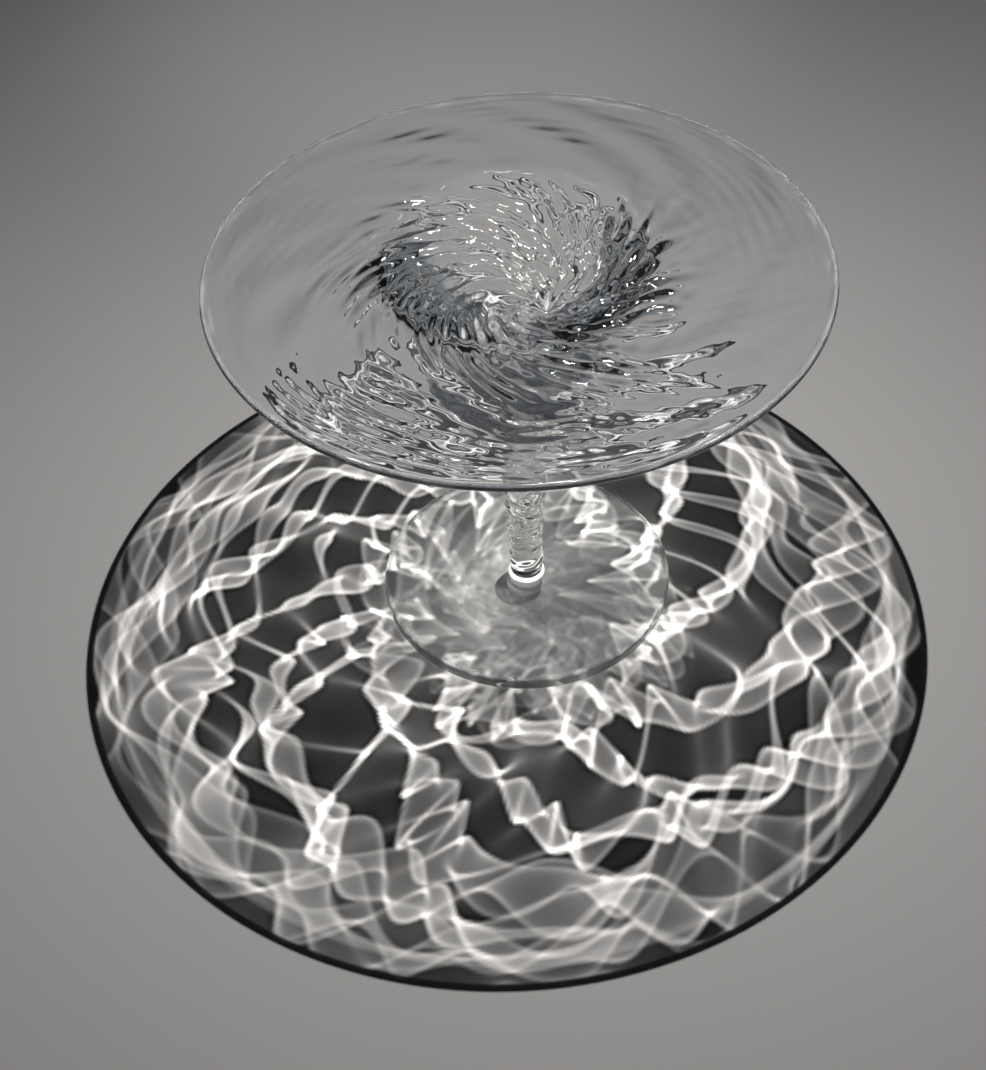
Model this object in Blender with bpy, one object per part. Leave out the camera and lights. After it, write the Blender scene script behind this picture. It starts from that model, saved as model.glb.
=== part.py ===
"""Footed glass dish: a shallow rippled swirl dish bonded to a solid glass
stem, which is bonded to a flat round foot.

Units are metres, +Z is up.  The origin is the centre of the foot's resting
face and the common axis of dish, stem and foot is +Z.
"""
import math

import bmesh
import bpy
import numpy as np

# ---------------------------------------------------------------- dimensions
GAP = 0.0003                 # clearance left between pieces that touch

FOOT_DIAMETER = 0.150
FOOT_THICKNESS = 0.008
FOOT_EDGE_RADIUS = 0.0026    # polished round on both edges of the foot
FOOT_SEGMENTS = 64

BOND_FILM = 0.0005           # thickness of the cured adhesive film
FILLET_REACH = 0.0014        # how far the adhesive spreads past the stem
FILLET_HEIGHT = 0.0021       # how high it creeps up the stem
BOND_SEGMENTS = 28

STEM_FOOT_RADIUS = 0.0082    # mean radius at the foot
STEM_DISH_RADIUS = 0.0100    # mean radius at the dish
STEM_WAVE = 0.00035          # half height of the drawn ripples
STEM_WAVE_PITCH = 0.0125
STEM_END_PLAIN = 0.006       # length over which the ripples fade at each end
STEM_RINGS = 44
STEM_SEGMENTS = 20

DISH_DIAMETER = 0.280
OVERALL_HEIGHT = 0.2090      # resting face to the highest point of the rim
RIM_THICKNESS = 0.0040
WELL_DEPTH = 0.0300          # rim plane down to the eye of the swirl
WELL_WIDTH = 0.0350          # radius scale of the swirl curve
WELL_POWER = 1.20
EYE_OFFSET = 0.0117          # the eye lies this far from the axis, towards +X
CONE_SLOPE = 1.60            # steepness of the solid cone under the dish
CONE_REACH = 0.067           # radius of the cone's base
CONE_BLEND = 0.011           # width over which the base runs into the plate
CONE_BACK = 0.015            # how far the base sits behind the axis
CONE_LEAN = 0.042            # radius over which the cone comes back to the axis
TRUMPET_SLOPE = 0.90         # the last flare, round the stem
TRUMPET_POWER = 4.0
BOSS_RADIUS = 0.0106
BOSS_FACE_Z = 0.1052         # flat lower face of the cone, where the stem starts
DISH_SEGMENTS = 72

ARMS = 8                     # spiral ridges round the dish
ARM_HEIGHT = 0.00050         # half height of the ridges
ARM_TURN = 55.0              # degrees an arm turns from the axis to the rim
ARM_TURN_EYE = 20.0          # further degrees per natural log, near the eye
ARM_TURN_RIM = 12.0          # further degrees, in the last turn along the rim

GLASS_CLEAR = (0.90, 0.94, 0.95, 1.0)
GLASS_DISH = (0.86, 0.91, 0.95, 1.0)
GLASS_FOOT = (0.80, 0.88, 0.84, 1.0)
ADHESIVE = (0.93, 0.94, 0.93, 1.0)


# ------------------------------------------------------------------ helpers
def clear_scene():
    for ob in list(bpy.data.objects):
        bpy.data.objects.remove(ob, do_unlink=True)


def glass_material(name, colour, roughness, ior=1.5):
    mat = bpy.data.materials.new(name)
    mat.use_nodes = True
    shader = mat.node_tree.nodes["Principled BSDF"]
    shader.inputs["Base Color"].default_value = colour
    shader.inputs["Roughness"].default_value = roughness
    shader.inputs["Metallic"].default_value = 0.0
    shader.inputs["IOR"].default_value = ior
    shader.inputs["Transmission Weight"].default_value = 1.0
    mat.diffuse_color = colour
    return mat


def smoothstep(x):
    x = min(1.0, max(0.0, x))
    return x * x * (3.0 - 2.0 * x)


def turned(name, profile, segments, material, relief=None, sharp=35.0):
    """Close a profile round +Z.

    profile lists (radius, z) from the lowest face to the highest.  A radius of
    zero at either end makes a single pole point; otherwise the end ring is
    filled with one flat face.  relief(index, radius, z, angle) may move a
    point's radius and z.
    """
    bm = bmesh.new()
    rings = []
    for index, (radius, z) in enumerate(profile):
        if radius < 1e-9:
            rings.append([bm.verts.new((0.0, 0.0, z))])
            continue
        ring = []
        for k in range(segments):
            a = 2.0 * math.pi * k / segments
            r, h = (radius, z) if relief is None else relief(index, radius, z, a)
            ring.append(bm.verts.new((r * math.cos(a), r * math.sin(a), h)))
        rings.append(ring)
    for low, high in zip(rings, rings[1:]):
        for k in range(segments):
            n = (k + 1) % segments
            if len(low) == 1:
                bm.faces.new((low[0], high[n], high[k]))
            elif len(high) == 1:
                bm.faces.new((low[k], low[n], high[0]))
            else:
                bm.faces.new((low[k], low[n], high[n], high[k]))
    if len(rings[0]) > 1:
        bm.faces.new(list(reversed(rings[0])))
    if len(rings[-1]) > 1:
        bm.faces.new(rings[-1])
    bm.normal_update()
    mesh = bpy.data.meshes.new(name)
    bm.to_mesh(mesh)
    bm.free()
    mesh.materials.append(material)
    mesh.shade_smooth()
    mesh.set_sharp_from_angle(angle=math.radians(sharp))
    ob = bpy.data.objects.new(name, mesh)
    bpy.context.scene.collection.objects.link(ob)
    return ob


def arc(cx, cz, radius, start, end, steps):
    """Points on a circle in the profile plane, angles in degrees from +r."""
    points = []
    for i in range(steps + 1):
        a = math.radians(start + (end - start) * i / steps)
        points.append((cx + radius * math.cos(a), cz + radius * math.sin(a)))
    return points


# --------------------------------------------------------------------- foot
def build_foot(material):
    """Flat disc standing on its lower face, both edges rounded and polished."""
    r = FOOT_DIAMETER / 2.0
    e = FOOT_EDGE_RADIUS
    profile = arc(r - e, e, e, -90.0, 0.0, 3)
    profile += arc(r - e, FOOT_THICKNESS - e, e, 0.0, 90.0, 3)
    return turned("foot", profile, FOOT_SEGMENTS, material)


# --------------------------------------------------------------------- bonds
def build_lower_bond(material):
    """Adhesive film under the stem, with the meniscus that rings its end."""
    z = FOOT_THICKNESS + GAP
    pocket = STEM_FOOT_RADIUS + GAP
    outer = pocket + FILLET_REACH
    lip = 0.00025
    profile = [(outer, z), (outer, z + 0.00015)]
    steps = 5
    for i in range(1, steps + 1):             # hollow outer curve of the fillet
        t = i / steps
        radius = outer + (pocket + lip - outer) * math.sin(t * math.pi / 2.0)
        height = (FILLET_HEIGHT + BOND_FILM) * (1.0 - math.cos(t * math.pi / 2.0))
        profile.append((radius, z + 0.00015 + height))
    top = profile[-1][1]
    profile += [(pocket, top), (pocket, z + BOND_FILM)]
    return turned("lower_bond", profile, BOND_SEGMENTS, material)


def build_upper_bond(material):
    """Adhesive film between the stem's upper end and the boss of the dish."""
    top = BOSS_FACE_Z - GAP
    low = top - BOND_FILM
    r = STEM_DISH_RADIUS
    profile = [(r - 0.00008, low), (r, low + BOND_FILM * 0.35),
               (r, low + BOND_FILM * 0.65), (r - 0.00008, top)]
    return turned("upper_bond", profile, BOND_SEGMENTS, material)


# --------------------------------------------------------------------- stem
def build_stem(material):
    """Solid drawn rod, a little thicker towards the dish, softly rippled."""
    low = FOOT_THICKNESS + GAP + BOND_FILM + GAP
    high = BOSS_FACE_Z - GAP - BOND_FILM - GAP
    length = high - low
    chamfer = 0.0005
    profile = [(STEM_FOOT_RADIUS - chamfer, low)]
    for i in range(STEM_RINGS):
        t = i / (STEM_RINGS - 1)
        z = low + chamfer + (length - 2.0 * chamfer) * t
        profile.append((STEM_FOOT_RADIUS
                        + (STEM_DISH_RADIUS - STEM_FOOT_RADIUS) * t, z))
    profile.append((STEM_DISH_RADIUS - chamfer, high))

    def ripple(index, radius, z, a):
        if index in (0, len(profile) - 1):
            return radius, z
        near_end = min(z - low, high - z)
        fade = smoothstep((near_end - 0.001) / STEM_END_PLAIN)
        wave = math.sin(2.0 * math.pi * z / STEM_WAVE_PITCH + a)
        wave += 0.45 * math.sin(2.0 * math.pi * z / (STEM_WAVE_PITCH * 1.7)
                                - 2.0 * a + 0.8)
        return radius + STEM_WAVE * fade * wave, z

    return turned("stem", profile, STEM_SEGMENTS, material, ripple)


# --------------------------------------------------------------------- dish
def well_curve(r):
    """Depth of the dish's upper face below the rim plane at radius r."""
    def bare(x):
        return 1.0 / (1.0 + (x / WELL_WIDTH) ** WELL_POWER)
    edge = bare(DISH_DIAMETER / 2.0)
    return WELL_DEPTH * (bare(r) - edge) / (1.0 - edge)


def cone_table():
    """Depth of the cone below the plate, listed against radius."""
    r = np.linspace(0.004, 0.11, 900)
    blend = np.clip((CONE_REACH - r) / CONE_BLEND, 0.0, 1.0)
    near = np.clip((0.030 - r) / 0.02, 0.0, 1.0)
    slope = CONE_SLOPE * blend ** 2 * (3.0 - 2.0 * blend) * (1.0 - 0.55 * near ** 2 * (3.0 - 2.0 * near))
    slope = slope + TRUMPET_SLOPE * (BOSS_RADIUS / r) ** TRUMPET_POWER
    steps = (slope[1:] + slope[:-1]) / 2.0 * np.diff(r)
    return r, np.concatenate([np.cumsum(steps[::-1])[::-1], [0.0]])


CONE_R, CONE_DEPTH = cone_table()


def under_height(x, y):
    """Height of the underside: a plate as thin as the rim under the upper
    face's mean curve, and a solid cone that thickens it round the stem."""
    flat = math.hypot(x, y)
    rho = flat
    for _ in range(14):                       # distance from the leaning axis
        back = CONE_BACK * smoothstep((rho - 0.012) / CONE_LEAN)
        rho = 0.3 * rho + 0.7 * math.hypot(x, y - back)
    return OVERALL_HEIGHT - RIM_THICKNESS - well_curve(flat) - float(np.interp(rho, CONE_R, CONE_DEPTH))


def eye_drift(r):
    """Share of the eye's offset that a ring of radius r takes."""
    return smoothstep(1.0 - r / (0.25 * DISH_DIAMETER))


def whirl(r, a):
    """Height of the spiral ridges that run outward from the eye."""
    if r < 1e-6:
        return 0.0
    rim = DISH_DIAMETER / 2.0
    u = r / rim
    fade = smoothstep((r - 0.006) / 0.020) * smoothstep((rim - 0.004 - r) / 0.016)
    turn = ARM_TURN * u + ARM_TURN_EYE * math.log(u + 0.04) + ARM_TURN_RIM * u ** 22
    phase = a - math.radians(turn)
    wave = 0.7 * math.sin(ARMS * phase)
    wave += 0.3 * math.sin((ARMS - 3) * phase + 1.3)
    return ARM_HEIGHT * fade * wave


def build_dish(material):
    """Swirl dish: ridged upper face, round rim, and an underside that thickens
    to a solid cone with a flat face for the stem."""
    rim = DISH_DIAMETER / 2.0
    half = RIM_THICKNESS / 2.0
    top = OVERALL_HEIGHT
    profile = [(BOSS_RADIUS - 0.0003, BOSS_FACE_Z)]
    # underside: rings close together on the trumpet, then evenly to the rim
    for r in (0.0106, 0.0112, 0.0120, 0.0132, 0.0150, 0.0175, 0.0205, 0.0240, 0.0280,
              0.0325, 0.0370, 0.0415, 0.0460, 0.0505, 0.0550, 0.0600, 0.0650, 0.0700,
              0.0750, 0.0800, 0.0860, 0.0940, 0.1040, 0.1160, 0.1280):
        profile.append((r, top - 0.05))
    first_rim = len(profile)
    # round rim: a half circle that carries the lower face over to the upper
    profile += arc(rim - half, top - half, half, -90.0, 90.0, 6)
    first_upper = len(profile)
    # upper face: from the rim in to the eye
    steps = 20
    for i in range(1, steps):
        r = (rim - half) * (1.0 - i / steps) ** 1.15
        profile.append((r, top - well_curve(r)))
    profile.append((0.0, top - WELL_DEPTH))

    def relief(index, radius, z, a):
        if 0 < index < first_rim:
            return radius, max(under_height(radius * math.cos(a), radius * math.sin(a)), BOSS_FACE_Z + 0.0002)
        if index < first_upper:
            return radius, z
        return radius, z + whirl(radius, a)

    ob = turned("dish", profile, DISH_SEGMENTS, material, relief, sharp=60.0)
    # carry the inner rings of the upper face over to the offset eye
    for v in ob.data.vertices:
        r = math.hypot(v.co.x, v.co.y)
        if v.co.z > top - well_curve(r) - 0.0015:
            v.co.x += EYE_OFFSET * eye_drift(r)
    return ob


def main():
    clear_scene()
    foot_glass = glass_material("foot_glass", GLASS_FOOT, 0.02, 1.52)
    stem_glass = glass_material("stem_glass", GLASS_CLEAR, 0.02, 1.52)
    dish_glass = glass_material("dish_glass", GLASS_DISH, 0.02, 1.52)
    adhesive = glass_material("clear_adhesive", ADHESIVE, 0.12, 1.49)
    base = bpy.data.objects.new("resting_face_centre", None)
    bpy.context.scene.collection.objects.link(base)
    pieces = [build_foot(foot_glass), build_lower_bond(adhesive),
              build_stem(stem_glass), build_upper_bond(adhesive),
              build_dish(dish_glass)]
    for ob in pieces:
        ob.parent = base


main()
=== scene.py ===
"""Visual model of a footed glass dish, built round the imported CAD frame."""
import math

import bpy
import numpy as np
from mathutils import Matrix, Vector


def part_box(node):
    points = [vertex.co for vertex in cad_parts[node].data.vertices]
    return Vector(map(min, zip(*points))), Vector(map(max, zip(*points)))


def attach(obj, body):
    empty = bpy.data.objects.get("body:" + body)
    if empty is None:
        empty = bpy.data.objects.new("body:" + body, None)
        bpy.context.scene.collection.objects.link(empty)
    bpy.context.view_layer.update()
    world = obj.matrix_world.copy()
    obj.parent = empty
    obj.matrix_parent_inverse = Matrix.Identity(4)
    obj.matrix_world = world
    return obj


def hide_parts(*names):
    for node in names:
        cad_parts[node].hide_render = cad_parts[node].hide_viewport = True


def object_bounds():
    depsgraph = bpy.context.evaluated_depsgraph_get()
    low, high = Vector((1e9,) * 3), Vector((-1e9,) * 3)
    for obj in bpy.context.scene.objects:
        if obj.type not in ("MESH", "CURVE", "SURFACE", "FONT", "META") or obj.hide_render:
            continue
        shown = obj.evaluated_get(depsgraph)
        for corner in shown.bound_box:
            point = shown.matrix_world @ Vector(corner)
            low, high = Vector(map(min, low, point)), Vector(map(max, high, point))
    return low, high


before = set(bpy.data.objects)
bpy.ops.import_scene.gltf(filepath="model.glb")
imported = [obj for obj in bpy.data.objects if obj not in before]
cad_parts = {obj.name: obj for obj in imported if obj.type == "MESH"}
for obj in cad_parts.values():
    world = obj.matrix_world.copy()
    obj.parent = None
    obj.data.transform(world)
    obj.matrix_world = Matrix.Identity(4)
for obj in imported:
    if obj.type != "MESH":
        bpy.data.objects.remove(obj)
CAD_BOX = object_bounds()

# ------------------------------------------------------------------ measures
DISH_LOW, DISH_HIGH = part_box("dish")
FOOT_LOW, FOOT_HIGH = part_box("foot")
STEM_LOW, STEM_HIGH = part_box("stem")
RIM_R = (DISH_HIGH[0] - DISH_LOW[0]) / 2.0
TOP_Z = CAD_BOX[1][2]
RIM_T = 0.0040
RIM_FALL = 0.0005                             # the upper face rolls down to the round edge
FOOT_R = (FOOT_HIGH[0] - FOOT_LOW[0]) / 2.0
FOOT_T = FOOT_HIGH[2]
BOSS_R = 0.0106

WELL_DEPTH, WELL_WIDTH, WELL_POWER = 0.0300, 0.0350, 1.20
CONE, CONE_REACH, CONE_BLEND, CONE_AT, CONE_LEAN = 1.60, 0.067, 0.011, (0.000, 0.015), 0.042
TRUMPET, TRUMPET_P = 0.9, 4.0
EYE = (0.0117, 0.0)
LAMP = np.array((0.024, 0.040, 0.585))
INDEX = 1.5
CAST = 0.00035                                # height of the waves on the cone
KEY, FILL, SPARK, BACK = 8.8, 0.009, 3.3, 4.0
TURN, TURN_EYE, TURN_RIM, TURN_POWER = 55.0, 20.0, 12.0, 22.0
SEED = 21
SHARPEN, GLOW = 0.50, 0.30
ARM_SLOPE, ARM_FEWEST, ARM_MOST, ARM_WAVES, ARM_WANDER = 0.082, 6, 20, 12, 0.045
FINE_SLOPE, FINE_SLOPE_EYE, FINE_MODES, FINE_SHORT, FINE_LONG = 0.031, 0.10, 15, 0.0085, 0.0130
GROOVE_SLOPE, GROOVE_SLOPE_RIM, GROOVE_WAVES = 0.420, 0.025, 44
GROOVE_NARROW, GROOVE_WIDE, GROOVE_LENGTH = 0.0050, 0.0115, 0.025
GROOVE_TURN, GROOVE_TURN_EYE = 75.0, 26.0


def sstep(x):
    x = np.clip(x, 0.0, 1.0)
    return x * x * (3.0 - 2.0 * x)


def well(r):
    bare = lambda x: 1.0 / (1.0 + (x / WELL_WIDTH) ** WELL_POWER)
    edge = bare(RIM_R)
    return WELL_DEPTH * (bare(r) - edge) / (1.0 - edge)


# The underside follows the upper face's mean curve.  Below it the plate is
# thin and even near the rim; inside CONE_REACH it thickens to a solid cone,
# whose base sits a little to the back and whose tip runs into the stem.
CONE_R = np.linspace(0.004, 0.11, 900)
CONE_SLOPE = (CONE * sstep((CONE_REACH - CONE_R) / CONE_BLEND) * (1 - 0.55 * sstep((0.030 - CONE_R) / 0.02))
              + TRUMPET * (BOSS_R / CONE_R) ** TRUMPET_P)
SOFT_SLOPE = (0.44 * CONE_R / RIM_R * (1.0 - sstep((CONE_R / RIM_R - 0.49) / 0.17))
              + 1.8 * (BOSS_R / CONE_R) ** 3)


def summed(slope):
    return np.concatenate([np.cumsum(((slope[1:] + slope[:-1]) / 2 * np.diff(CONE_R))[::-1])[::-1], [0.0]])


CONE_DEPTH, SOFT_DEPTH = summed(CONE_SLOPE), summed(SOFT_SLOPE)


def cone_radius(x, y):
    """Distance from the cone's axis, which leans from the stem to the back."""
    rho = np.hypot(x, y)
    for _ in range(14):
        k = sstep((rho - 0.012) / CONE_LEAN)
        rho = 0.3 * rho + 0.7 * np.hypot(x - CONE_AT[0] * k, y - CONE_AT[1] * k)
    return rho


def under_xy(x, y):
    """Height of the underside."""
    return TOP_Z - RIM_T - well(np.hypot(x, y)) - np.interp(cone_radius(x, y), CONE_R, CONE_DEPTH)


BOSS_Z = round(float(under_xy(np.array([BOSS_R]), np.array([0.0]))[0]) - 0.0003, 4)


def under_soft(x, y):
    """Underside that sends the lamp's light on as the cone does on average,
    after the light has been scattered by the grooves above it."""
    r = np.hypot(x, y)
    return TOP_Z - RIM_T - well(r) - np.interp(r, CONE_R, SOFT_DEPTH)


# -------------------------------------------------------------- ripple field
def arm_turn(r):
    """Angle through which the spiral arms have turned at radius r."""
    u = r / RIM_R
    return np.radians(TURN * u + TURN_RIM * u ** TURN_POWER + TURN_EYE * np.log(u + 0.04))


def arm_rate(r):
    u = r / RIM_R
    return np.radians(TURN + TURN_RIM * TURN_POWER * u ** (TURN_POWER - 1) + TURN_EYE / (u + 0.04)) / RIM_R


TABLE_R = np.linspace(0.0, RIM_R, 600)
TABLE_S = np.concatenate([[0.0], np.cumsum(np.sqrt(1.0 + (TABLE_R[1:] * arm_rate(TABLE_R[1:])) ** 2) * np.diff(TABLE_R))])


def ripple(r, a, grooves=True):
    """Height of the ripples on the upper face, metres.  Broad spiral arms that
    wander and fork, crossed by short ripples that run across the arms."""
    rng = np.random.RandomState(SEED)
    u = r / RIM_R
    s = np.interp(r, TABLE_R, TABLE_S)
    across = np.maximum(r / np.sqrt(1.0 + (r * arm_rate(r)) ** 2), 1e-4)
    phi = a - arm_turn(r)
    arms = 0.0
    for m in np.linspace(ARM_FEWEST, ARM_MOST, ARM_WAVES).round().astype(int):
        kap = 2 * math.pi * rng.uniform(-1, 1) / ARM_WANDER
        ph = rng.uniform(0, 2 * math.pi)
        k = np.sqrt((m / across) ** 2 + kap ** 2)
        arms = arms + np.sin(m * phi + kap * s + ph) / k * sstep((2 * math.pi / k - 0.004) / 0.006)
    slope = ARM_SLOPE * (1 + sstep((0.50 - u) / 0.3)) * (1 - 0.30 * sstep((u - 0.70) / 0.28))
    h = slope * math.sqrt(2.0 / ARM_WAVES) * arms
    slope = (FINE_SLOPE + FINE_SLOPE_EYE * sstep((0.55 - u) / 0.40)) * (1 - 0.15 * sstep((u - 0.75) / 0.22))
    fine, waves = 0.0, 60
    for i in range(waves):
        m = rng.randint(-FINE_MODES, FINE_MODES + 1)
        kap = 2 * math.pi / rng.uniform(FINE_SHORT, FINE_LONG) * rng.choice((-1.0, 1.0))
        ph = rng.uniform(0, 2 * math.pi)
        k = np.sqrt((m / across) ** 2 + kap ** 2)
        fine = fine + np.sin(m * phi + kap * s + ph) / k * sstep((2 * math.pi / k - 0.005) / 0.004)
    h = h + slope * math.sqrt(2.0 / waves) * fine
    if not grooves:
        return edge_fade(h, r)
    # narrow grooves, all of about one width, that swirl in to the eye; they
    # wrap round more on the far side from the eye
    wrap = np.radians(GROOVE_TURN * u + GROOVE_TURN_EYE * np.log(u + 0.05))
    phi = a - wrap * (1.0 - 0.55 * np.cos(a - 0.2))
    grooves, power = 0.0, 1e-6
    for m in np.linspace(7, 92, GROOVE_WAVES).round().astype(int):
        kap = 2 * math.pi * rng.uniform(-1, 1) / GROOVE_LENGTH
        ph = rng.uniform(0, 2 * math.pi)
        k = np.sqrt((m / across) ** 2 + kap ** 2)
        wide = 2 * math.pi / k
        w = sstep((wide - GROOVE_NARROW) / 0.0018) * (1 - sstep((wide - GROOVE_WIDE) / 0.005))
        grooves = grooves + w * np.sin(m * phi + kap * s + ph) / k
        power = power + w * w / 2
    slope = GROOVE_SLOPE * sstep((0.64 - u + 0.06 * np.sin(3 * phi + 1.0) + 0.04 * np.sin(7 * phi)) / 0.20) + GROOVE_SLOPE_RIM
    return edge_fade(h + slope * grooves / np.sqrt(power), r)


def edge_fade(h, r):
    """Ripples die out at the eye and the rim, where the face rolls down."""
    h = h * sstep((r - 0.002) / 0.012) * sstep((RIM_R - 0.0028 - r) / 0.0055)
    return h - RIM_FALL * sstep((r - (RIM_R - 0.008)) / 0.008)


def eye_shift(r):
    """The swirl's eye lies to one side; the rings drift over to it."""
    return sstep(1.0 - r / (0.5 * RIM_R))


# ------------------------------------------------------------------- helpers
def link(ob):
    bpy.context.scene.collection.objects.link(ob)
    return ob


def lathe(name, radii, heights, segments, lift=None):
    """Closed body turned round +Z; rings run from the lowest face outward and
    over to the top.  A zero radius at either end makes a pole.  segments is
    one number, or one for each ring; neighbours differ by a whole factor."""
    radii = np.asarray(radii, float)
    heights = np.asarray(heights, float)
    if not hasattr(segments, "__len__"):
        segments = [segments] * len(radii)
    verts, faces, rings = [], [], []
    count = 0
    for i, (r, z, n) in enumerate(zip(radii, heights, segments)):
        if r < 1e-9:
            n = 1
        ang = np.arange(n) * 2.0 * math.pi / n
        rr = np.full(n, r)
        x, y, h = rr * np.cos(ang), rr * np.sin(ang), np.full(n, z)
        if lift is not None:
            x, y, h = lift(i, rr, ang, h)
        verts.append(np.stack([x, y, h], 1))
        rings.append((count, n))
        count += n
    verts = np.concatenate(verts)
    for (a0, na), (b0, nb) in zip(rings, rings[1:]):
        n = min(na, nb)
        k = np.arange(n)
        m = (k + 1) % n
        if na == nb:
            faces.append(np.stack([a0 + k, a0 + m, b0 + m, b0 + k], 1))
        elif nb == 1:
            k = np.arange(na)
            faces.append(np.stack([a0 + k, a0 + (k + 1) % na, np.full(na, b0)], 1))
        elif na == 1:
            k = np.arange(nb)
            faces.append(np.stack([np.full(nb, a0), b0 + (k + 1) % nb, b0 + k], 1))
        elif nb > na:                         # fan out
            f, h = nb // na, (nb // na) // 2
            for j in range(f):
                p, q = b0 + k * f + j, b0 + (k * f + j + 1) % nb
                faces.append(np.stack([a0 + (k if j < h else m), q, p], 1))
            faces.append(np.stack([a0 + k, a0 + m, b0 + k * f + h], 1))
        else:                                 # close in
            f, h = na // nb, (na // nb) // 2
            for j in range(f):
                p, q = a0 + k * f + j, a0 + (k * f + j + 1) % na
                faces.append(np.stack([p, q, b0 + (k if j < h else m)], 1))
            faces.append(np.stack([a0 + k * f + h, b0 + m, b0 + k], 1))
    mesh = bpy.data.meshes.new(name)
    mesh.from_pydata(verts.tolist(), [], [f for block in faces for f in block.tolist()])
    mesh.validate()
    mesh.update()
    mesh.shade_smooth()
    ob = bpy.data.objects.new(name, mesh)
    return link(ob)


def ring_arc(cr, cz, rad, a0, a1, n):
    t = np.radians(np.linspace(a0, a1, n + 1))
    return cr + rad * np.cos(t), cz + rad * np.sin(t)


# ------------------------------------------------- light bent by the dish
def top_surface(r, a):
    rr = np.maximum(r, 1e-5)
    return TOP_Z - well(rr) + ripple(rr, a, grooves=False)


def bend(d, n, eta):
    """Snell's law for unit rays d at unit normals n that face the rays."""
    c = -np.sum(d * n, 1)
    k = 1.0 - eta * eta * (1.0 - c * c)
    ok = k > 0
    out = eta * d + (eta * c - np.sqrt(np.maximum(k, 0)))[:, None] * n
    return out / np.linalg.norm(out, axis=1)[:, None], ok


def surface_normals(pts, nr, na):
    """Upward unit normals of a polar grid of points (nr rings of na)."""
    g = pts.reshape(nr, na, 3)
    du = np.gradient(g, axis=0)
    dv = np.roll(g, -1, 1) - np.roll(g, 1, 1)
    n = np.cross(du, dv).reshape(-1, 3)
    n *= np.sign(n[:, 2])[:, None]
    return n / np.maximum(np.linalg.norm(n, axis=1), 1e-12)[:, None]


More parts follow.
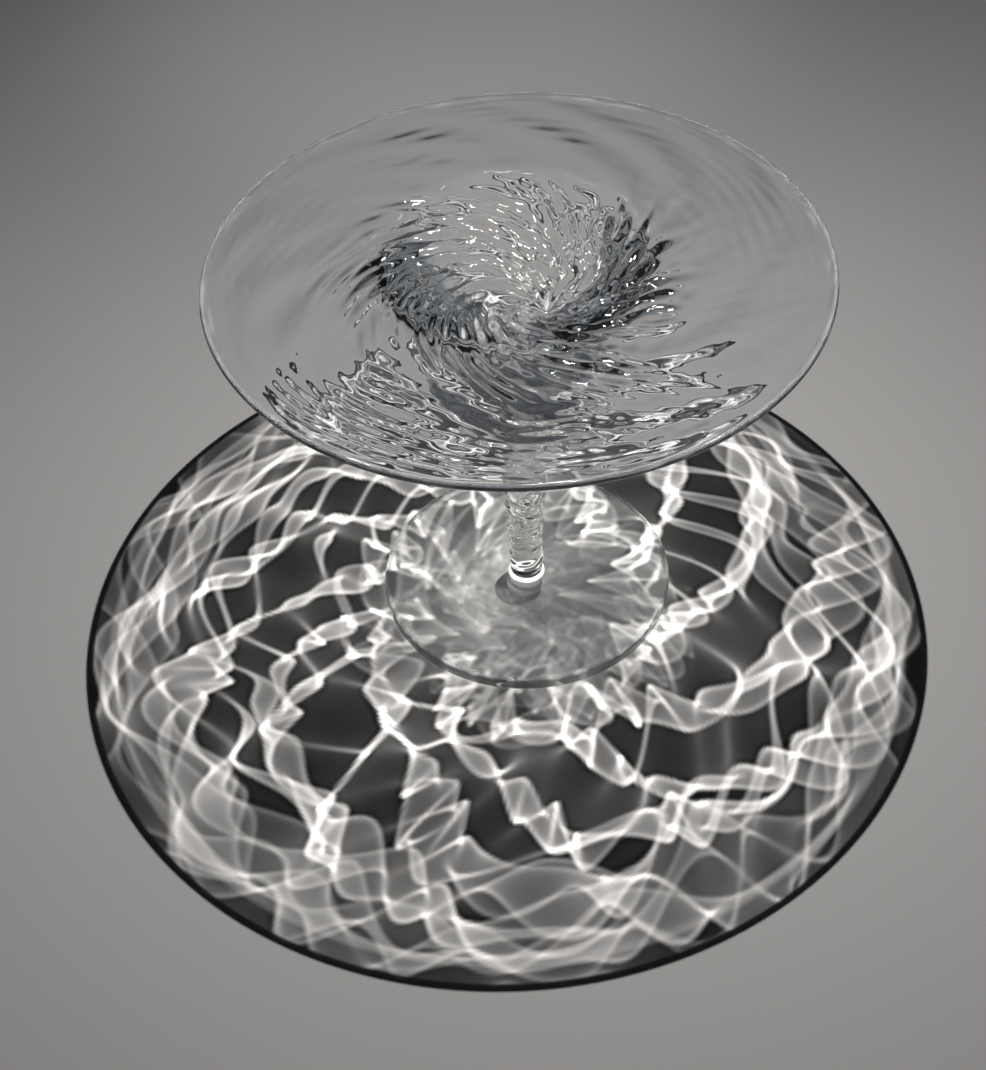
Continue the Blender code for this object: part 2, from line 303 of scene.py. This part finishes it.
def light_map(nr=520, na=1440, cell=0.0006, half=0.27, blur=1.05):
    """Irradiance on the floor under the dish, as a share of the bare floor's,
    from rays that the lamp sends through the dish's two faces."""
    r = np.linspace(0.003, RIM_R - 0.0018, nr)
    a = np.arange(na) * 2 * math.pi / na
    R, A = np.meshgrid(r, a, indexing="ij")
    R, A = R.ravel(), A.ravel()
    off = eye_shift(R)
    p = np.stack([R * np.cos(A) + EYE[0] * off, R * np.sin(A) + EYE[1] * off, top_surface(R, A)], 1)
    n = surface_normals(p, nr, na)
    d = p - LAMP
    dist = np.linalg.norm(d, axis=1)
    d /= dist[:, None]
    g, ok = bend(d, n, 1.0 / INDEX)
    q = p.copy()
    for _ in range(18):                       # walk down to the underside
        q = q + g * ((q[:, 2] - under_soft(q[:, 0], q[:, 1])) / -g[:, 2] * 0.7)[:, None]
    rr = np.hypot(q[:, 0], q[:, 1])
    e = 0.0004
    sx = (under_soft(q[:, 0] + e, q[:, 1]) - under_soft(q[:, 0] - e, q[:, 1])) / (2 * e)
    sy = (under_soft(q[:, 0], q[:, 1] + e) - under_soft(q[:, 0], q[:, 1] - e)) / (2 * e)
    m = np.stack([-sx, -sy, np.ones_like(rr)], 1)
    m /= np.linalg.norm(m, axis=1)[:, None]
    o, ok2 = bend(g, m, INDEX)
    ok &= ok2 & (o[:, 2] < -0.2) & (rr < RIM_R) & (rr > BOSS_R)
    f = q + o * (q[:, 2] / -o[:, 2])[:, None]
    F = f[:, :2].reshape(nr, na, 2)
    OK = ok.reshape(nr, na)
    # flux of each grid cell: solid angle seen from the lamp
    P = p.reshape(nr, na, 3)
    Pn = np.roll(P, -1, 1)
    area = np.cross(P[1:] - P[:-1], Pn[:-1] - P[:-1])
    mid = (P[1:] + P[:-1] + Pn[1:] + Pn[:-1]) / 4 - LAMP
    L = np.linalg.norm(mid, axis=2)
    flux = np.abs(np.sum(area * mid, 2)) / L ** 3 * 0.90
    u = np.linalg.norm(mid[:, :, :2] + LAMP[:2], axis=2) / RIM_R
    flux = flux * (1.0 - 0.60 * sstep((0.52 - u) / 0.25))      # the grooves scatter theirs
    Fn = np.roll(F, -1, 1)
    OKn = np.roll(OK, -1, 1)
    good = OK[1:] & OK[:-1] & OKn[1:] & OKn[:-1]
    spread = np.abs(F[1:] - F[:-1]).max(2) + np.abs(Fn[:-1] - F[:-1]).max(2)
    good &= spread < 0.05
    flux = np.where(good, flux, 0.0)
    N = int(round(2 * half / cell))
    img = np.zeros(N * N)
    sub = 4
    c00, c10, c01, c11 = F[:-1], F[1:], Fn[:-1], Fn[1:]
    for i in range(sub):
        for j in range(sub):
            u, v = (i + 0.5) / sub, (j + 0.5) / sub
            X = (c00 * (1 - u) * (1 - v) + c10 * u * (1 - v) + c01 * (1 - u) * v + c11 * u * v + half) / cell - 0.5
            X = X.reshape(-1, 2)
            w = (flux / sub ** 2).ravel()
            ix = np.floor(X).astype(int)
            fx = X - ix
            for dx in (0, 1):
                for dy in (0, 1):
                    kx, ky = ix[:, 0] + dx, ix[:, 1] + dy
                    inside = (kx >= 0) & (kx < N) & (ky >= 0) & (ky < N)
                    ww = w * np.abs(1 - dx - fx[:, 0]) * np.abs(1 - dy - fx[:, 1])
                    img += np.bincount((ky * N + kx)[inside], ww[inside], minlength=N * N)
    img = img.reshape(N, N)
    # share of the bare floor's irradiance
    c = (np.arange(N) + 0.5) * cell - half
    X, Y = np.meshgrid(c, c)
    L = np.sqrt((X - LAMP[0]) ** 2 + (Y - LAMP[1]) ** 2 + LAMP[2] ** 2)
    bare = cell * cell * LAMP[2] / L ** 3
    img /= bare
    k = np.exp(-0.5 * (np.arange(-4, 5) / blur) ** 2)
    k /= k.sum()
    img = np.apply_along_axis(lambda v: np.convolve(v, k, "same"), 0, img)
    img = np.apply_along_axis(lambda v: np.convolve(v, k, "same"), 1, img)
    # keep the lines as fine as the mesh can carry them
    k = np.exp(-0.5 * (np.arange(-9, 10) / 2.6) ** 2)
    k /= k.sum()
    wide = np.apply_along_axis(lambda v: np.convolve(v, k, "same"), 0, img)
    wide = np.apply_along_axis(lambda v: np.convolve(v, k, "same"), 1, wide)
    img = np.maximum(img + SHARPEN * (img - wide), 0.0)
    # light that rattles about in the cone leaves it spread over the foot
    img = img + GLOW * np.exp(-((X + 0.006) ** 2 + (Y + 0.010) ** 2) / 0.068 ** 2)
    return img, cell, half


def light_share(pts, table):
    """Share of the lamp's light that each point of the upper face passes on,
    straight down the line from the lamp to the floor."""
    img, cell, half = table
    d = pts - LAMP
    t = -LAMP[2] / d[:, 2]
    x = (LAMP[0] + d[:, 0] * t + half) / cell - 0.5
    y = (LAMP[1] + d[:, 1] * t + half) / cell - 0.5
    N = img.shape[0]
    x, y = np.clip(x, 0, N - 1.001), np.clip(y, 0, N - 1.001)
    ix, iy = x.astype(int), y.astype(int)
    fx, fy = x - ix, y - iy
    return (img[iy, ix] * (1 - fx) * (1 - fy) + img[iy, ix + 1] * fx * (1 - fy)
            + img[iy + 1, ix] * (1 - fx) * fy + img[iy + 1, ix + 1] * fx * fy)


# ---------------------------------------------------------------- materials
def node(nt, kind, **values):
    n = nt.nodes.new("ShaderNode" + kind)
    for k, v in values.items():
        setattr(n, k, v)
    return n


def glass(name, colour, painted_edge_glow_colour, painted_edge_glow_mix, ior=1.5, share=False, specks=0.0, ripple_scale=90.0):
    """Clear glass.  Shadow rays pass it, weakened or gathered by light_share.
    The attribute painted_edge_glow_band (1 on the outermost edge) marks where light piped through the plate comes
    out; there a pale, tinted, partly diffuse colour is painted on the edge as a glow that stands in for that
    light, so the edge looks pale and tinted, not clear."""
    mat = bpy.data.materials.new(name)
    mat.use_nodes = True
    nt = mat.node_tree
    sh = nt.nodes["Principled BSDF"]
    sh.inputs["IOR"].default_value = ior
    # painted glow: tint and paleness of the edge, a partly diffuse colour in place of clear glass where piped
    # light comes out, its strength varied by noise
    edge = node(nt, "Attribute", attribute_name="painted_edge_glow_band")
    where = node(nt, "TexCoord")
    uneven = node(nt, "TexNoise")
    uneven.inputs["Scale"].default_value = 38.0
    uneven.inputs["Detail"].default_value = 3.0
    band = node(nt, "Math", operation="MULTIPLY")
    vary = node(nt, "MapRange")
    vary.inputs["To Min"].default_value = 0.55
    vary.inputs["To Max"].default_value = 1.25
    nt.links.new(where.outputs["Object"], uneven.inputs["Vector"])
    nt.links.new(uneven.outputs["Fac"], vary.inputs["Value"])
    nt.links.new(edge.outputs["Fac"], band.inputs[0])
    nt.links.new(vary.outputs["Result"], band.inputs[1])
    tint = node(nt, "MixRGB")
    tint.inputs[1].default_value = (*colour, 1.0)
    tint.inputs[2].default_value = (*painted_edge_glow_colour, 1.0)
    nt.links.new(band.outputs[0], tint.inputs[0])
    see = node(nt, "MapRange")
    see.inputs["To Min"].default_value = 1.0
    see.inputs["To Max"].default_value = 1.0 - painted_edge_glow_mix
    nt.links.new(band.outputs[0], see.inputs["Value"])
    clearness, base = see.outputs["Result"], tint.outputs[0]
    if specks > 0.0:                          # a few grains of dust and seeds
        cells = node(nt, "TexVoronoi")
        cells.inputs["Scale"].default_value = specks
        dot = node(nt, "Math", operation="LESS_THAN")
        dot.inputs[1].default_value = 0.016
        few = node(nt, "SeparateColor")
        rare = node(nt, "Math", operation="LESS_THAN")
        rare.inputs[1].default_value = 0.10
        both = node(nt, "Math", operation="MULTIPLY")
        less = node(nt, "Math", operation="MULTIPLY_ADD")
        less.inputs[1].default_value = -0.85
        nt.links.new(where.outputs["Object"], cells.inputs["Vector"])
        nt.links.new(cells.outputs["Distance"], dot.inputs[0])
        nt.links.new(cells.outputs["Color"], few.inputs[0])
        nt.links.new(few.outputs[0], rare.inputs[0])
        nt.links.new(dot.outputs[0], both.inputs[0])
        nt.links.new(rare.outputs[0], both.inputs[1])
        nt.links.new(both.outputs[0], less.inputs[0])
        nt.links.new(clearness, less.inputs[2])
        clearness = less.outputs[0]
        dark = node(nt, "MixRGB")
        dark.inputs[2].default_value = (0.10, 0.085, 0.08, 1.0)
        nt.links.new(both.outputs[0], dark.inputs[0])
        nt.links.new(base, dark.inputs[1])
        base = dark.outputs[0]
    nt.links.new(base, sh.inputs["Base Color"])
    nt.links.new(clearness, sh.inputs["Transmission Weight"])
    # breath of haze, uneven, and the fine orange peel of fire-polished glass
    haze = node(nt, "TexNoise")
    haze.inputs["Scale"].default_value = 14.0
    haze.inputs["Detail"].default_value = 5.0
    rough = node(nt, "MapRange")
    rough.inputs["From Min"].default_value = 0.45
    rough.inputs["From Max"].default_value = 0.80
    rough.inputs["To Min"].default_value = 0.0
    rough.inputs["To Max"].default_value = 0.035
    nt.links.new(where.outputs["Object"], haze.inputs["Vector"])
    nt.links.new(haze.outputs["Fac"], rough.inputs["Value"])
    nt.links.new(rough.outputs["Result"], sh.inputs["Roughness"])
    peel = node(nt, "TexNoise")
    peel.inputs["Scale"].default_value = ripple_scale
    peel.inputs["Detail"].default_value = 2.0
    bump = node(nt, "Bump")
    bump.inputs["Strength"].default_value = 0.06
    bump.inputs["Distance"].default_value = 0.001
    nt.links.new(where.outputs["Object"], peel.inputs["Vector"])
    nt.links.new(peel.outputs["Fac"], bump.inputs["Height"])
    nt.links.new(bump.outputs["Normal"], sh.inputs["Normal"])
    # lamps shine through
    path = node(nt, "LightPath")
    clear = node(nt, "BsdfTransparent")
    mix = node(nt, "MixShader")
    nt.links.new(path.outputs["Is Shadow Ray"], mix.inputs[0])
    nt.links.new(sh.outputs[0], mix.inputs[1])
    nt.links.new(clear.outputs[0], mix.inputs[2])
    nt.links.new(mix.outputs[0], nt.nodes["Material Output"].inputs["Surface"])
    clear.inputs[0].default_value = (1, 1, 1, 1)
    if share:
        att = node(nt, "Attribute", attribute_name="light_share")
        nt.links.new(att.outputs["Fac"], clear.inputs[0])
    return mat


def milky(name, colour, clearness, roughness, glow=0.0):
    """Cured clear adhesive, faintly cloudy with trapped air.  glow is painted light: emission on the bead that
    stands in for the light that runs down inside the stem and comes out in the bead."""
    mat = bpy.data.materials.new(name)
    mat.use_nodes = True
    nt = mat.node_tree
    sh = nt.nodes["Principled BSDF"]
    sh.inputs["IOR"].default_value = 1.49
    sh.inputs["Roughness"].default_value = roughness
    where = node(nt, "TexCoord")
    cloud = node(nt, "TexNoise")
    cloud.inputs["Scale"].default_value = 420.0
    cloud.inputs["Detail"].default_value = 4.0
    nt.links.new(where.outputs["Object"], cloud.inputs["Vector"])
    tint = node(nt, "ValToRGB")
    tint.color_ramp.elements[0].position = 0.30
    tint.color_ramp.elements[0].color = (*[c * 0.86 for c in colour], 1.0)
    tint.color_ramp.elements[1].position = 0.70
    tint.color_ramp.elements[1].color = (*colour, 1.0)
    nt.links.new(cloud.outputs["Fac"], tint.inputs[0])
    nt.links.new(tint.outputs[0], sh.inputs["Base Color"])
    see = node(nt, "MapRange")
    see.inputs["To Min"].default_value = clearness - 0.15
    see.inputs["To Max"].default_value = clearness + 0.15
    nt.links.new(cloud.outputs["Fac"], see.inputs["Value"])
    nt.links.new(see.outputs["Result"], sh.inputs["Transmission Weight"])
    bump = node(nt, "Bump")
    bump.inputs["Strength"].default_value = 0.15
    bump.inputs["Distance"].default_value = 0.0005
    nt.links.new(cloud.outputs["Fac"], bump.inputs["Height"])
    nt.links.new(bump.outputs["Normal"], sh.inputs["Normal"])
    # painted glow: the bead emits light as a stand-in for light piped down the stem; it is no lamp
    if glow > 0.0:
        painted_glow_level = node(nt, "MapRange")
        painted_glow_level.inputs["To Min"].default_value = glow * 0.7
        painted_glow_level.inputs["To Max"].default_value = glow * 1.3
        nt.links.new(cloud.outputs["Fac"], painted_glow_level.inputs["Value"])
        nt.links.new(painted_glow_level.outputs["Result"], sh.inputs["Emission Strength"])
        sh.inputs["Emission Color"].default_value = (1.0, 0.99, 0.97, 1.0)
    path = node(nt, "LightPath")
    clear = node(nt, "BsdfTransparent")
    mix = node(nt, "MixShader")
    clear.inputs[0].default_value = (0.8, 0.8, 0.8, 1)
    nt.links.new(path.outputs["Is Shadow Ray"], mix.inputs[0])
    nt.links.new(sh.outputs[0], mix.inputs[1])
    nt.links.new(clear.outputs[0], mix.inputs[2])
    nt.links.new(mix.outputs[0], nt.nodes["Material Output"].inputs["Surface"])
    return mat


def mark(ob, name, values):
    att = ob.data.attributes.new(name, "FLOAT", "POINT")
    att.data.foreach_set("value", np.asarray(values, np.float32))


def points(ob):
    co = np.empty(len(ob.data.vertices) * 3)
    ob.data.vertices.foreach_get("co", co)
    return co.reshape(-1, 3)


def hand_drawn(r, a):
    """Shallow unevenness of the solid cone's outer face."""
    waves = (CAST * np.sin(9 * a + 480.0 * r + 1.0) + 0.85 * CAST * np.sin(14 * a - 390.0 * r + 2.3)
             + 0.6 * CAST * np.sin(23 * a + 610.0 * r + 0.4))
    return waves * sstep((r - 0.013) / 0.012) * sstep((CONE_REACH - r) / 0.012)


# --------------------------------------------------------------------- dish
def make_dish():
    half = (RIM_T - RIM_FALL) / 2.0
    edge = RIM_R - half
    rings = [(0.0, BOSS_Z, 1, 0), (BOSS_R * 0.5, BOSS_Z, 60, 0), (BOSS_R - 0.0002, BOSS_Z, 60, 0)]
    for r in np.concatenate([np.geomspace(BOSS_R, 0.024, 14), np.linspace(0.024, edge, 34)[1:-1]]):
        rings.append((r, 0.0, 60 if r < 0.012 else 120, 1))
    for r, z in zip(*ring_arc(edge, TOP_Z - RIM_T + half, half, -90, 90, 10)):
        rings.append((r, z, 480, 2))
    n = 156
    for r in edge * np.linspace(1.0, 0.0, n + 1)[1:]:
        segs = 960 if r > 0.088 else 480 if r > 0.040 else 240 if r > 0.018 else 120 if r > 0.008 else 60
        rings.append((r, TOP_Z - float(well(np.array([max(r, 1e-6)]))[0]), segs, 3))

    def lift(i, r, a, h):
        x, y = r * np.cos(a), r * np.sin(a)
        if rings[i][3] == 1:
            h = np.maximum(under_xy(x, y) + hand_drawn(r, a), BOSS_Z + 0.0001)
        if rings[i][3] == 3:
            rr = np.maximum(r, 1e-5)
            h = h + ripple(rr, a)
            x, y = x + EYE[0] * eye_shift(r), y + EYE[1] * eye_shift(r)
        return x, y, h
    ob = lathe("dish_glass_body", [q[0] for q in rings], [q[1] for q in rings], [q[2] for q in rings], lift)
    kind = np.concatenate([np.full(1 if q[0] < 1e-9 else q[2], q[3]) for q in rings])
    co = points(ob)
    share = np.ones(len(kind))
    share[kind == 2] = 0.04                   # the round edge throws its light aside
    share[kind == 3] = np.minimum(light_share(co[kind == 3], light_map()), 4.5) ** 1.18
    share[np.flatnonzero(kind == 2)[:480]] = 1.0
    mark(ob, "light_share", share)
    r = np.hypot(co[:, 0], co[:, 1])
    # painted glow on the dish's round edge, standing in for light piped through the plate
    mark(ob, "painted_edge_glow_band", np.where(kind >= 1, sstep((r - (RIM_R - 0.0026)) / 0.0020), 0.0))
    print("dish", len(ob.data.vertices), "points", sum(len(q.vertices) - 2 for q in ob.data.polygons), "triangles")
    return ob


STEM_R, STEM_R_TOP = 0.0082, 0.0100
BOND = 0.00005                                # how far bonded faces reach into each other


def make_stem():
    low, high = FOOT_T - BOND, UPPER_BOND_LOW + BOND
    n = 330
    z = np.linspace(low, high, n)
    t = (z - low) / (high - low)
    base = STEM_R + (STEM_R_TOP - STEM_R) * t
    end = lambda r: [r * q for q in (0.97, 0.9, 0.6)]
    radii = [0.0] + end(base[0])[::-1] + list(base) + end(base[-1]) + [0.0]
    heights = [low] * 4 + list(z) + [high] * 4
    rng = np.random.RandomState(11)
    waves = [(rng.randint(-3, 4), rng.uniform(0.0035, 0.010), rng.uniform(0, 6.28), rng.uniform(0.5, 2.2)) for _ in range(26)]

    def lift(i, r, a, h):
        if 4 <= i < n + 4:
            zz = h[0]
            fade = float(sstep((min(zz - low, high - zz) - 0.0016) / 0.005))
            d = np.zeros_like(a)
            for m, lam, ph, w in waves:
                d += w * lam * np.sin(2 * math.pi * zz / lam + m * a + ph)
            r = r + 0.0075 * d * fade
        return r * np.cos(a), r * np.sin(a), h
    ob = lathe("stem_glass_body", radii, heights, 72, lift)
    mark(ob, "painted_edge_glow_band", np.zeros(len(ob.data.vertices)))
    return ob


def make_foot():
    e = 0.0026
    r1, z1 = ring_arc(FOOT_R - e, e, e, -90, 0, 10)
    r2, z2 = ring_arc(FOOT_R - e, FOOT_T - e, e, 0, 90, 10)
    flat = [FOOT_R * 0.3, FOOT_R * 0.6, FOOT_R * 0.9, FOOT_R - e - 0.0006, FOOT_R - e - 0.0001]
    radii = [0.0] + flat + list(r1) + list(r2) + flat[::-1] + [0.0]
    heights = [0.0] * 6 + list(z1) + list(z2) + [FOOT_T] * 6
    ob = lathe("foot_glass_body", radii, heights, 240)
    r = np.hypot(*points(ob)[:, :2].T)
    # painted glow on the foot's round edge, standing in for light piped through the plate
    mark(ob, "painted_edge_glow_band", sstep((r - (FOOT_R - 0.0036)) / 0.0034))
    return ob


def make_lower_bond():
    """Bead of adhesive that rings the stem's end, hollow on its outer side."""
    reach, rise = 0.0012, 0.0022
    t = np.linspace(0.0, 1.0, 14)
    r = STEM_R - BOND + (reach + BOND) * (1.0 - np.sin(t * math.pi / 2)) + 0.00008
    z = FOOT_T + 0.00006 + rise * (1.0 - np.cos(t * math.pi / 2))
    inner = np.linspace(1.0, 0.0, 6)
    radii = [STEM_R - BOND] + [r[0] - 0.0004, r[0]] + list(r) + [STEM_R - BOND]
    heights = [FOOT_T - BOND] * 2 + [FOOT_T - BOND] + list(z) + [z[-1]]
    rng = np.random.RandomState(4)
    ph = rng.uniform(0, 6.28, 4)

    def lift(i, r, a, h):
        if i >= 1:                            # the bead is not quite even
            w = 1 + 0.06 * np.sin(a + ph[0]) + 0.05 * np.sin(3 * a + ph[1]) + 0.03 * np.sin(7 * a + ph[2])
            far = np.maximum(r - (STEM_R - BOND), 0.0)
            r = STEM_R - BOND + far * w
        return r * np.cos(a), r * np.sin(a), h
    return tube("lower_bond_bead", radii, heights, 96, lift)


def make_upper_bond():
    low, high = UPPER_BOND_LOW, BOSS_Z + BOND
    r = STEM_R_TOP - 0.0001
    radii = [0.0, r * 0.6, r * 0.95, r - 0.00008, r, r, r - 0.00008, r * 0.95, r * 0.6, 0.0]
    heights = [low] * 4 + [low + 0.0001, high - 0.0001] + [high] * 4
    return lathe("upper_bond_film", radii, heights, 72)


def tube(name, radii, heights, segments, lift):
    """Closed ring: the profile is a loop that doesn't meet the axis."""
    n, m = len(radii), segments
    a = np.arange(m) * 2 * math.pi / m
    verts = []
    for i, (r, z) in enumerate(zip(radii, heights)):
        x, y, h = lift(i, np.full(m, r), a, np.full(m, z))
        verts.append(np.stack([x, y, h], 1))
    i, k = np.meshgrid(np.arange(n), np.arange(m), indexing="ij")
    j, l = (i + 1) % n, (k + 1) % m
    faces = np.stack([i * m + k, i * m + l, j * m + l, j * m + k], 2).reshape(-1, 4)
    mesh = bpy.data.meshes.new(name)
    mesh.from_pydata(np.concatenate(verts).tolist(), [], faces.tolist())
    mesh.validate()
    mesh.update()
    mesh.shade_smooth()
    mesh.set_sharp_from_angle(angle=math.radians(40))
    return link(bpy.data.objects.new(name, mesh))


# the pale edge colours and mixes below are painted glow for light piped through the glass
dish_glass = glass("dish_glass", (0.985, 0.99, 1.0), (0.68, 0.73, 0.80), 0.48, share=True, specks=55.0)
stem_glass = glass("stem_glass", (0.985, 0.992, 0.99), (0.8, 0.85, 0.85), 0.0)
foot_glass = glass("foot_glass", (0.988, 0.993, 0.989), (0.66, 0.72, 0.70), 0.62, specks=70.0)
# the bead's glow is painted light, emission standing in for light piped down the stem
adhesive = milky("clear_adhesive", (0.97, 0.97, 0.965), 0.22, 0.10, glow=0.68)
film = milky("clear_adhesive_film", (0.985, 0.99, 0.985), 0.98, 0.0)
UPPER_BOND_LOW = BOSS_Z - 0.0006
for make, material, node_name, slot in (
        (make_dish, dish_glass, "dish", "dish_glass"), (make_stem, stem_glass, "stem", "stem_glass"),
        (make_foot, foot_glass, "foot", "foot_glass"), (make_lower_bond, adhesive, "lower_bond", "clear_adhesive"),
        (make_upper_bond, film, "upper_bond", "clear_adhesive")):
    piece = make()
    piece.data.materials.append(material)
    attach(piece, "root")
    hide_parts(node_name)

# -------------------------------------------------------------------- stage
bpy.ops.mesh.primitive_plane_add(size=6.0, location=(0, 0, -0.0002))
floor = bpy.context.object; floor.name = "floor"
fm = bpy.data.materials.new("floor_grey"); fm.use_nodes = True
fs = fm.node_tree.nodes["Principled BSDF"]
fs.inputs["Base Color"].default_value = (0.595, 0.588, 0.582, 1); fs.inputs["Roughness"].default_value = 0.9
fs.inputs["Specular IOR Level"].default_value = 0.1
floor.data.materials.append(fm)

world = bpy.data.worlds.new("studio")
bpy.context.scene.world = world
world.use_nodes = True
world.cycles.sampling_method = "NONE"
wt = world.node_tree
fill = wt.nodes["Background"]
fill.inputs[0].default_value = (0.90, 0.95, 1.0, 1.0)
fill.inputs[1].default_value = FILL
room = wt.nodes.new("ShaderNodeBackground")
path = wt.nodes.new("ShaderNodeLightPath")
first = wt.nodes.new("ShaderNodeMath"); first.operation = "LESS_THAN"; first.inputs[1].default_value = 0.5
both = wt.nodes.new("ShaderNodeMixShader")
wt.links.new(path.outputs["Diffuse Depth"], first.inputs[0])
wt.links.new(first.outputs[0], both.inputs[0])
wt.links.new(fill.outputs[0], both.inputs[1])
wt.links.new(room.outputs[0], both.inputs[2])
wt.links.new(both.outputs[0], wt.nodes["World Output"].inputs["Surface"])
co = wt.nodes.new("ShaderNodeTexCoord")
sep = wt.nodes.new("ShaderNodeSeparateXYZ")
ramp = wt.nodes.new("ShaderNodeValToRGB")
wt.links.new(co.outputs["Generated"], sep.inputs[0])
wt.links.new(sep.outputs["Z"], ramp.inputs[0])
wt.links.new(ramp.outputs[0], room.inputs[0])
ramp.color_ramp.elements[0].position = 0.0; ramp.color_ramp.elements[0].color = (0.028, 0.030, 0.038, 1)
ramp.color_ramp.elements[1].position = 0.95; ramp.color_ramp.elements[1].color = (0.42, 0.44, 0.47, 1)
e = ramp.color_ramp.elements.new(0.35); e.color = (0.085, 0.094, 0.102, 1)
e = ramp.color_ramp.elements.new(0.70); e.color = (0.19, 0.205, 0.215, 1)
room.inputs[1].default_value = 1.0


def lamp(name, watts, radius, colour, place):
    data = bpy.data.lights.new(name, "POINT")
    data.energy, data.shadow_soft_size, data.color = watts, radius, colour
    ob = link(bpy.data.objects.new(name, data))
    ob.location = place
    return ob


def mirrored_only(data):
    """The light is seen in the glass; none of it reaches the floor by way of
    the glass."""
    data.use_nodes = True
    nt = data.node_tree
    glow = nt.nodes["Emission"]
    path = nt.nodes.new("ShaderNodeLightPath")
    seen = nt.nodes.new("ShaderNodeMath")
    seen.operation = "LESS_THAN"
    seen.inputs[1].default_value = 0.5
    nt.links.new(path.outputs["Diffuse Depth"], seen.inputs[0])
    nt.links.new(seen.outputs[0], glow.inputs["Strength"])


def only_in_glass(ob):
    """The lamp reaches the glass pieces and nothing else."""
    ob.light_linking.receiver_collection = GLASS


GLASS = bpy.data.collections.new("glass_pieces")
for piece in [o for o in bpy.context.scene.objects if o.type == "MESH" and o.name.split(".")[0] in ("dish_glass_body", "stem_glass_body", "foot_glass_body", "lower_bond_bead", "upper_bond_film")]:
    GLASS.objects.link(piece)

bpy.context.scene.view_settings.view_transform = "Standard"
key = lamp("key", KEY, 0.0012, (1.0, 0.98, 0.96), LAMP)
key.visible_glossy = False
key.visible_transmission = False
spark = lamp("spark", SPARK, 0.026, (1.0, 0.97, 0.93), LAMP + np.array((0.0, 0.0, 0.004)))
spark.visible_diffuse = False
only_in_glass(spark)
mirrored_only(spark.data)
for name, watts, radius, dx, dy, dz in (("spark_left", 2.2, 0.020, -0.22, 0.00, 0.03), ("spark_right", 1.8, 0.018, 0.24, -0.02, 0.05),
                                        ("spark_near", 1.6, 0.016, 0.05, -0.14, 0.10)):
    small = lamp(name, watts, radius, (1.0, 0.97, 0.93), LAMP + np.array((dx, dy, dz)))
    small.visible_diffuse = False
    only_in_glass(small)
    mirrored_only(small.data)

# pale panels that the glass mirrors; they don't light the floor
for name, place, wide, strength in (("panel_left", (-1.3, 0.5, 1.1), 0.6, 3.0), ("panel_right", (1.4, 0.2, 0.9), 0.5, 2.2)):
    data = bpy.data.lights.new(name, "AREA")
    data.shape, data.size, data.energy, data.color = "DISK", wide, strength, (0.93, 0.96, 1.0)
    panel = link(bpy.data.objects.new(name, data))
    panel.location = place
    panel.rotation_euler = (Vector((0.0, 0.0, 0.15)) - panel.location).to_track_quat("-Z", "Y").to_euler()
    panel.visible_diffuse = False
    panel.visible_glossy = False
    only_in_glass(panel)
    mirrored_only(data)

# soft pool of light on the floor behind the dish
soft = bpy.data.lights.new("back_soft", "SPOT")
soft.energy, soft.color, soft.spot_size, soft.spot_blend = BACK, (0.96, 0.98, 1.0), math.radians(42), 1.0
soft.shadow_soft_size = 0.05
back = link(bpy.data.objects.new("back_soft", soft))
back.location = (-0.05, 0.62, 0.90)
back.visible_glossy = False
back.visible_transmission = False

# ------------------------------------------------------------------- camera
F_PX, PITCH, ROLL = 1650.0, math.radians(46.46), math.radians(-2.94)
CAM = Vector((-0.0598, -2.095, 2.332)) * 0.280
fwd = Vector((0.0, math.cos(PITCH), -math.sin(PITCH)))
right = Vector((1.0, 0.0, 0.0)); up = right.cross(fwd)
r2 = math.cos(ROLL) * right + math.sin(ROLL) * up
u2 = -math.sin(ROLL) * right + math.cos(ROLL) * up
cd = bpy.data.cameras.new("camera"); cam = bpy.data.objects.new("camera", cd); link(cam)
m = Matrix((r2, u2, -fwd)).transposed().to_4x4(); m.translation = CAM
cam.matrix_world = m
cd.sensor_width = 36.0; cd.lens = F_PX / 1070.0 * 36.0; cd.clip_start = 0.01
bpy.context.scene.camera = cam
